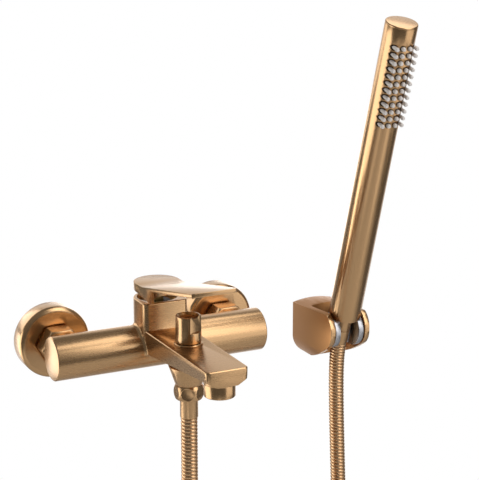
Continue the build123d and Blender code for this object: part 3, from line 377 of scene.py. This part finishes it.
# %% [markdown]
# ## Softened solids
#
# A solid from a drawing has edges as sharp as a knife, and its round faces come in as flat strips. Modelling the
# casting again would lose its exact shape, so a copy of each visible solid is worked on instead. It is welded, its
# strips are joined where they are flat, and a narrow bevel catches the light along every edge. The copy then
# stands for the solid, which stays in the file for the physics. All solids share these measures, and only the
# bevel's width differs from piece to piece.

# %% Measures of the softening
weld_within = 0.00001  # corners that lie closer than this, in metres, become one
flat_within = math.radians(0.6)  # faces that meet flatter than this are joined
sharp_over = math.radians(35.0)  # edges sharper than this get the bevel
smooth_under = math.radians(30.0)  # and edges flatter than this are shaded smooth
bevel_steps = 2


# %% Softened solids
def pick(thing):
    """Leaves only this piece selected and active."""
    bpy.ops.object.select_all(action="DESELECT")
    thing.select_set(True)
    bpy.context.view_layer.objects.active = thing


def soften(node, material, bevel):
    """A welded, bevelled copy of a solid, in its place and on its body."""
    source = frame["nodes"][node]
    piece = bpy.data.objects.new(node + "_skin", source.data.copy())
    bpy.context.scene.collection.objects.link(piece)
    pick(piece)
    bpy.ops.object.mode_set(mode="EDIT")
    bpy.ops.mesh.select_all(action="SELECT")
    bpy.ops.mesh.remove_doubles(threshold=weld_within)
    bpy.ops.mesh.dissolve_limited(angle_limit=flat_within)
    bpy.ops.object.mode_set(mode="OBJECT")
    edge = piece.modifiers.new("edge", "BEVEL")
    edge.width = bevel
    edge.segments = bevel_steps
    edge.limit_method = "ANGLE"
    edge.angle_limit = sharp_over
    bpy.ops.object.modifier_apply(modifier="edge")
    bpy.ops.object.shade_smooth_by_angle(angle=smooth_under)
    piece.data.materials.clear()
    piece.data.materials.append(material)
    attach(piece, source["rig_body"])
    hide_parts(node)
    return piece


# %% [markdown]
# ## Which finish, and how soft an edge
#
# Castings come off the belt with rounder edges than turned rings, so every visible solid gets its own bevel, here in
# metres. The hand shower's tube is drawn thin, and keeps almost a sharp edge.

# %% Which finish, and how soft an edge
skins = {
    "mixer_body": (bronze_x, 0.0006),
    "handle": (bronze_y, 0.0004),
    "diverter_knob": (bronze_z, 0.0003),
    "diverter_guide": (bronze_z, 0.0002),
    "aerator_housing": (bronze_z, 0.0003),
    "hose_nut": (bronze_z, 0.0003),
    "lower_ferrule": (bronze_z, 0.0002),
    "union_nut_left": (bronze_y, 0.0004),
    "union_nut_right": (bronze_y, 0.0004),
    "flange_left": (bronze_y, 0.0003),
    "flange_right": (bronze_y, 0.0003),
    "handset_tube": (bronze_with_painted_shade, 0.0001),
    "handset_end_cap": (bronze_stick, 0.0003),
    "upper_hose_nut": (bronze_stick, 0.0003),
    "upper_ferrule": (bronze_stick, 0.0002),
    "bracket_shell": (bronze_satin, 0.0006),
    "swivel_holder": (holder_grey, 0.0005),
}
skin = {}
for node, (material, bevel) in skins.items():
    skin[node] = soften(node, material, bevel)
    print(node, "faces", len(skin[node].data.polygons))

# %% [markdown]
# ## Flats of the hose nut
#
# The hose nut is round like a barrel, and its six flats come out as round discs. Smooth shading would blend each
# disc into the barrel. Sharp edges could be marked round them, but the discs are easy to find as they are: they are
# the large upright faces. Shading only these flat keeps their rims crisp.

# %% Flats of the hose nut
large_face = 1.5e-5  # square metres
upright_below = 0.2  # how far an upright face's normal may point up or down
flats = 0
for face in skin["hose_nut"].data.polygons:
    if face.area > large_face and abs(face.normal.z) < upright_below:
        face.use_smooth = False
        flats += 1
print("flats", flats)

# %% [markdown]
# ## Polished rims of the bracket
#
# The bracket's shell is satin, but the round rims of its two cheeks were polished bright. The shell stays one piece,
# because a piece may carry two materials: each face says which slot it takes, and here the faces are told apart by
# their place and direction. A rim lies in front, and faces neither sideways nor back to the wall.

# %% Polished rims of the bracket
cheeks_before = -0.047  # the cheeks' round rims lie on the room's side of this Y
sideways, wallwards = 0.75, 0.4  # a rim's normal points less than this to a side, or to the wall
shell = skin["bracket_shell"].data
shell.materials.append(bronze_y)
polished = 0
for face in shell.polygons:
    if abs(face.normal.x) < sideways and face.center.y < cheeks_before and face.normal.y < wallwards:
        face.material_index = 1
        polished += 1
print("polished faces", polished)

# %% [markdown]
# ## One nozzle
#
# The forty-eight nozzles are soft silicone pegs with round heads, which are rubbed to break off lime. A peg could be
# a scaled sphere, but then its neck would be missing. So it starts as a short cylinder, whose top face is drawn out
# four times: widened once into the head, and then narrowed into a dome.

# %% One nozzle
peg_sides, peg_radius, peg_depth = 14, 0.00145, 0.0020
peg_sunk = 0.0042  # from the point that places a peg down to its cylinder's middle
top_over = 0.9  # the top face's normal points up more than this
head_steps = ((0.0010, 1.20), (0.0012, 0.98), (0.0006, 0.86), (0.0003, 0.66))  # how far up, and how much wider
head_smooth_under = math.radians(60.0)
bpy.ops.object.select_all(action="DESELECT")
bpy.ops.mesh.primitive_cylinder_add(vertices=peg_sides, radius=peg_radius, depth=peg_depth,
                                    location=(0.0, 0.0, -peg_sunk))
peg = bpy.context.object
peg.name = "nozzle_pegs"
pick(peg)
bpy.ops.object.transform_apply(location=True, rotation=True, scale=True)
bpy.ops.object.mode_set(mode="EDIT")
bpy.ops.mesh.select_mode(type="FACE")
bpy.ops.mesh.select_all(action="DESELECT")
bpy.ops.object.mode_set(mode="OBJECT")
for face in peg.data.polygons:
    face.select = face.normal.z > top_over
bpy.ops.object.mode_set(mode="EDIT")
for rise, widen in head_steps:
    bpy.ops.mesh.extrude_region_move(TRANSFORM_OT_translate={"value": (0.0, 0.0, rise)})
    bpy.ops.transform.resize(value=(widen, widen, 1.0))
bpy.ops.object.mode_set(mode="OBJECT")
bpy.ops.object.shade_smooth_by_angle(angle=head_smooth_under)
peg.data.materials.append(nozzle_silicone)
print("one peg has", len(peg.data.polygons), "faces")

# %% [markdown]
# ## All nozzles
#
# What repeats is modelled once. Each copy has its own mesh, which is turned to the front, moved out to the tube's
# slightly tapering surface, leaned with the hand shower and set on its foot. The copies are joined, so the pegs are
# one piece that rides with the hand shower.

# %% All nozzles
foot_radius, top_radius, foot_height, top_height = 0.0140, 0.0132, 0.0017, 0.2738  # of the hand shower's tube
peg_proud = 0.0024  # how far a peg stands out of the tube
lean = Matrix.Rotation(handset_lean, 4, "X")
towards_front = Matrix.Rotation(math.radians(90.0), 4, "X")
one_peg = peg.data.copy()
pegs = []
for row in range(nozzle_rows):
    for column in range(nozzle_columns):
        height = nozzle_first + nozzle_pitch * row
        across = nozzle_across * (column - (nozzle_columns - 1) / 2)
        radius = foot_radius + (height - foot_height) / (top_height - foot_height) * (top_radius - foot_radius)
        tip = Vector((across, -radius - peg_proud, height))
        copy = bpy.data.objects.new("peg", one_peg.copy())
        copy.data.transform(Matrix.Translation(handset_foot) @ lean @ Matrix.Translation(tip) @ towards_front)
        bpy.context.scene.collection.objects.link(copy)
        pegs.append(copy)
peg.data.clear_geometry()
pick(peg)
for copy in pegs:
    copy.select_set(True)
bpy.ops.object.join()
peg.data.update()
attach(peg, "handset")
print("nozzles", len(pegs), "faces", len(peg.data.polygons))

# %% [markdown]
# ## Inner and small pieces
#
# Discs, seals, screws and valves are hidden, or nearly so. Softening them would cost time and show nothing, so they
# keep their own meshes. Each only needs the right finish, so that a cut-open model or a view into the flanges still
# looks like the real thing.

# %% Inner and small pieces
finishes = {
    machined_brass: ("eccentric_union_left", "eccentric_union_right", "retaining_nut", "outlet_nipple",
                     "diverter_stem", "diverter_plunger", "handset_inlet", "lever_pin", "cartridge_lever"),
    nozzle_silicone: ("nozzle_strip",),
    soft_black: ("cartridge_seal", "aerator_seal", "hose_washer", "handset_washer", "plunger_seal",
                 "union_washer_left", "union_washer_right", "friction_washers"),
    white_plastic: ("handset_waterway", "aerator_insert", "check_valve_left", "check_valve_right", "disc_slider"),
    brown_plastic: ("cartridge_base", "cartridge_housing", "cartridge_rotor"),
    black_plastic: ("index_plug",),
    ceramic: ("fixed_disc", "moving_disc"),
    stainless: ("handle_grub_screw", "bracket_screws", "bracket_grub_screw", "bracket_plate"),
}
for material, nodes in finishes.items():
    for node in nodes:
        slots = frame["nodes"][node].data.materials
        slots.clear()
        slots.append(material)
    print(material.name, "on", len(nodes), "solids")

# %% [markdown]
# ## Route of the hose
#
# The hose hangs from the mixer, turns into a coil of two and a half turns, and rises to the hand shower. It is metal
# and fairly stiff, so it never bends sharply. Straight runs with rounded corners would look like bent wire. A NURBS
# curve of order 3 is smooth all along, and follows a few control points that are easy to move. It passes inside its
# control points, so the coil's points stand a little outside the turns that they draw.

# %% Route of the hose
hose_d = 0.0135
coil_centre = Vector((0.0875, -0.1030, -0.2320))
coil_pitch = 0.0145  # from one turn to the next, a little over the hose's width
turns_radius = 0.0676
inside_share = 0.966  # with twelve points to a turn, the curve reaches this share of its points' radius
coil_r = turns_radius / inside_share
coil_points = 31  # two and a half turns of twelve steps, and the point that ends them


def coil_point(twelfths):
    """A control point of the coil, counted in twelfths of a turn from its left side."""
    turn = math.pi + twelfths * math.pi / 6
    side = Vector((coil_r * math.cos(turn), coil_pitch * twelfths / 12, coil_r * math.sin(turn)))
    return coil_centre + side


lower_route = [Vector((0.0, -0.1165, z)) for z in (-0.0433, -0.0600, -0.0800, -0.1030, -0.1375)]
lower_route += [Vector((0.0199, -0.1048, -0.1975))]
lower_route += [coil_point(step) for step in range(coil_points)]
lower_route += [Vector((0.1551, -0.0652, -0.2160)), Vector((0.1750, -0.0562, -0.1880)),
                Vector((0.1750, -0.0534, -0.1650))]
upper_route = [Vector((0.175, y, z)) for y, z in (
    (-0.0534, -0.1650), (-0.0516, -0.1430), (-0.0498, -0.1200), (-0.0480, -0.0960), (-0.0466, -0.0720),
    (-0.0462, -0.0520), (-0.0474, -0.0350), (-0.0502, -0.0254))]
print("route points", len(lower_route), len(upper_route))

# %% [markdown]
# A curve doesn't tell where its line runs, but a mesh made from it does: its corners lie one after the other along
# the line. The curve and that mesh are only helpers, so both are removed again.


# %% The line of a route
def smooth_line(points, name):
    """The line of a NURBS curve of order 3 with these control points, read back as a row of points."""
    curve = bpy.data.curves.new(name, "CURVE")
    curve.dimensions = "3D"
    curve.resolution_u = 16
    spline = curve.splines.new("NURBS")
    spline.points.add(len(points) - 1)
    for point, place in zip(spline.points, points):
        point.co = (*place, 1.0)
    spline.order_u = 3
    spline.use_endpoint_u = True
    helper = bpy.data.objects.new(name, curve)
    mesh = bpy.data.meshes.new_from_object(helper)
    line = [vertex.co.copy() for vertex in mesh.vertices]
    bpy.data.objects.remove(helper)
    bpy.data.meshes.remove(mesh)
    return line


# %% [markdown]
# ## Ribs along a line
#
# The hose is a steel strip wound round and round, so it has a rib every three millimetres. A bump pattern would give
# ribs inside a smooth outline, and this hose shows its ribs in the outline too, so they are real. Five rings make
# one rib: one deep in the groove, one on each slope and two on the crest. The line is first divided into even
# steps, because the points of a curve bunch up where it bends.

# %% Measures of the ribs
rib_pitch = 0.0030
rib_shape = ((0.0, -0.00075), (0.14, -0.00022), (0.34, 0.0), (0.66, 0.0), (0.86, -0.00022))  # share of pitch, dip
rib_smooth_under = math.radians(50.0)
tube_sides = 24
print("each rib has", len(rib_shape), "rings of", tube_sides, "corners")


# %% Even steps along a line
def resample(line, step):
    """Points at even steps along a line, with both ends kept, and the line's length."""
    total = sum((b - a).length for a, b in zip(line, line[1:]))
    count = max(2, round(total / step))
    spaced, passed, index = [line[0].copy()], 0.0, 0
    for number in range(1, count):
        wanted = total * number / count
        while passed + (line[index + 1] - line[index]).length < wanted:
            passed += (line[index + 1] - line[index]).length
            index += 1
        share = (wanted - passed) / (line[index + 1] - line[index]).length
        spaced.append(line[index].lerp(line[index + 1], share))
    return spaced + [line[-1].copy()], total


def point_and_way(line, share):
    """The point at this share of an evenly divided line, and the direction of the line there."""
    last = len(line) - 1
    where = share * last
    index = min(int(where), last - 1)
    point = line[index].lerp(line[index + 1], where - index)
    return point, (line[min(index + 2, last)] - line[max(index - 1, 0)]).normalized()


# %% [markdown]
# ## Rings and faces of the tube
#
# A curve's own round bevel is equally thick all along, and this hose isn't. So the tube is laid out ring by ring,
# each a circle of corners across the line. Were each circle to choose where it starts, the tube would twist, so each
# takes over the start of the ring before, and only tilts it to the line's new direction.


# %% Rings and faces of the tube
def ring_corners(line, rings):
    """The corners of all rings. A ring is given as its share of the line's length and its dip below full width."""
    corners = []
    across = Vector((1.0, 0.0, 0.0))
    for share, dip in rings:
        centre, ahead = point_and_way(line, share)
        across = (across - ahead * across.dot(ahead)).normalized()
        up = ahead.cross(across)
        radius = hose_d / 2 + dip
        for side in range(tube_sides):
            turn = 2 * math.pi * side / tube_sides
            corners.append(centre + (across * math.cos(turn) + up * math.sin(turn)) * radius)
    return corners


def ring_faces(count):
    """Four-cornered faces between the rings, and one face that closes each end."""
    faces = []
    for ring in range(count - 1):
        for side in range(tube_sides):
            a, b = ring * tube_sides + side, ring * tube_sides + (side + 1) % tube_sides
            faces.append((a, b, b + tube_sides, a + tube_sides))
    faces.append(tuple(reversed(range(tube_sides))))
    faces.append(tuple(range((count - 1) * tube_sides, count * tube_sides)))
    return faces


# %% Ribbed tube
def ribbed_tube(name, line):
    """A tube with a groove and a rib at every pitch, closed at both ends, its length, and the line it follows."""
    even, total = resample(line, rib_pitch / len(rib_shape))
    ribs = round(total / rib_pitch)
    rings = [((rib + place) / ribs, dip) for rib in range(ribs) for place, dip in rib_shape]
    rings.append((1.0, rib_shape[0][1]))
    faces = ring_faces(len(rings))
    mesh = bpy.data.meshes.new(name)
    mesh.from_pydata(ring_corners(even, rings), [], faces)
    tube = bpy.data.objects.new(name, mesh)
    bpy.context.scene.collection.objects.link(tube)
    pick(tube)
    bpy.ops.object.shade_smooth_by_angle(angle=rib_smooth_under)
    print(name, "length", round(total, 4), "ribs", ribs, "faces", len(faces))
    return tube, total, even


# %% [markdown]
# ## Hose pieces
#
# The hose is made as two pieces that meet below the bracket, because a piece can bend between two moving bodies and
# no more. The lower one runs from the mixer down through the coil and up to below the holder. The upper one rises
# from there to the hand shower.

# %% Hose pieces
hose_metal = brushed("wound hose strip", (0.62, 0.39, 0.21), "z", 0.3, 0.05, cross=700.0)
lower_hose, lower_length, lower_line = ribbed_tube("hose_lower", smooth_line(lower_route, "lower route"))
upper_hose, upper_length, upper_line = ribbed_tube("hose_upper", smooth_line(upper_route, "upper route"))
for hose in (lower_hose, upper_hose):
    hose.data.materials.append(hose_metal)
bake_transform(lower_hose)
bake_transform(upper_hose)
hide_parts("hose_drop", "hose_coil")
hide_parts("hose_riser")

# %% [markdown]
# ## Floor
#
# Metal has hardly a colour of its own: it shows what stands round it. A plain white room would make this mixer flat,
# so the studio is a real one: a pale floor, a white backdrop on the far side of the mixer, a dim room behind the
# camera, and a few soft boxes. The floor is a matt plane. A hard rim would show as a line across the picture, so
# the plane turns clear with the distance from its middle, where the backdrop takes over.

# %% Floor
floor_pale = (0.76, 0.76, 0.76, 1.0)
floor_whole, floor_gone = 0.42, 0.86  # the floor thins out between these distances from its middle, in metres
bpy.ops.mesh.primitive_plane_add(size=4.0, location=(-0.10, -0.42, -0.34))
floor = bpy.context.object
floor.name = "floor"
floor_paint, tree = new_material("pale floor")
place = make(tree, "ShaderNodeTexCoord", output="Object")
away = make(tree, "ShaderNodeVectorMath", {"operation": "LENGTH"}, {0: place}, output="Value")
matt = make(tree, "ShaderNodeBsdfDiffuse", {}, {"Color": floor_pale})
clear = make(tree, "ShaderNodeBsdfTransparent")
thinned = make(tree, "ShaderNodeMixShader", {},
               {0: soft_step(tree, away, floor_whole, floor_gone), 1: matt, 2: clear})
make(tree, "ShaderNodeOutputMaterial", {}, {"Surface": thinned})
floor.data.materials.append(floor_paint)

# %% [markdown]
# ## Room and backdrop
#
# The world is the room. In front of the camera it is white, like a sheet of paper hung behind the mixer. To the
# sides and behind it fades to dark grey, a little lighter towards the ceiling, and this darkness is what draws the
# dark bands on the tube. Both come from the direction of a ray alone, so the room looks the same from every camera.

# %% Room and backdrop
towards_backdrop = (0.441, 0.892, -0.10)
backdrop_edge, backdrop_full = 0.66, 0.88  # cosines of the angle from its middle
white = (1.0, 1.0, 1.0, 1.0)
room_greys = [(0.0, 0.12), (0.45, 0.13), (0.60, 0.17), (1.0, 0.24)]  # from the floor up to the ceiling
world = bpy.data.worlds.new("studio")
bpy.context.scene.world = world
world.use_nodes = True
sky = world.node_tree
sky.nodes.clear()
direction = make(sky, "ShaderNodeTexCoord", output="Generated")
height = make(sky, "ShaderNodeSeparateXYZ", {}, {0: direction}, output="Z")
facing = make(sky, "ShaderNodeVectorMath", {"operation": "DOT_PRODUCT"}, {0: direction, 1: towards_backdrop},
              output="Value")
backdrop = soft_step(sky, facing, backdrop_edge, backdrop_full)
room = make(sky, "ShaderNodeValToRGB", {"stops": room_greys}, {"Fac": height * 0.5 + 0.5})
light = make(sky, "ShaderNodeBackground", {}, {"Color": mix_colours(sky, backdrop, room, white), "Strength": 1.0})
make(sky, "ShaderNodeOutputWorld", {}, {"Surface": light})
print("room nodes", len(sky.nodes))

# %% [markdown]
# ## Lamps
#
# Each bright band on the metal is the mirror image of one lamp, so the lamps are large, soft and set one by one. The
# tall front box draws the band along the tube, and the top box whitens the lever. Cards at the sides and behind
# light the tower, the spout and the flanges, the glows on the floor lift the undersides, and two small cards are
# only there for the round ends of the tube and the hand shower. A lamp's strength is given as a brightness,
# because that is what the metal mirrors: the power is this number times pi times the lamp's area.


# %% One soft lamp
def soft_lamp(name, place, aim, width, height, brightness):
    """A large rectangular lamp that faces a point, as bright as this many times white."""
    place, aim = Vector(place), Vector(aim)
    bpy.ops.object.light_add(type="AREA", location=place, rotation=turned_to(place, aim))
    lamp = bpy.context.object
    lamp.name = name
    lamp.data.shape = "RECTANGLE"
    lamp.data.size = width
    lamp.data.size_y = height
    lamp.data.energy = brightness * math.pi * width * height
    lamp.visible_camera = False


# %% Lamps
middle = (0.05, -0.08, 0.05)
lamps = (  # name, place, the point it faces, width, height, brightness
    ("tall front box", (0.46, -0.88, 0.52), middle, 0.66, 0.9, 2.3),
    ("top box", (0.38, -0.36, 0.95), middle, 0.75, 0.6, 2.2),
    ("left card", (-0.80, 0.26, -0.20), (0.10, -0.12, 0.15), 0.84, 0.95, 2.3),
    ("right card", (0.68, -0.74, -0.10), middle, 0.85, 0.42, 1.1),
    ("low left glow", (-0.30, -0.64, -0.332), (-0.30, -0.64, 0.3), 0.16, 0.5, 0.6),
    ("low right glow", (0.42, -0.72, -0.332), (0.42, -0.72, 0.3), 0.28, 0.4, 0.45),
    ("back low card", (0.52, 0.98, -0.14), (0.0, -0.10, 0.08), 0.7, 0.42, 1.4),
    ("back left card", (-0.33, 0.68, 0.26), (-0.08, 0.0, 0.0), 0.5, 0.46, 1.7),
    ("arm end card", (-0.17, 0.10, -0.04), (-0.10, -0.042, 0.0), 0.075, 0.085, 2.4),
    ("end card", (0.43, 0.16, 0.67), (0.175, -0.19, 0.26), 0.24, 0.2, 2.2),
)
for lamp in lamps:
    soft_lamp(*lamp)
bpy.context.scene.view_settings.view_transform = "Standard"
print("lamps", len(lamps))
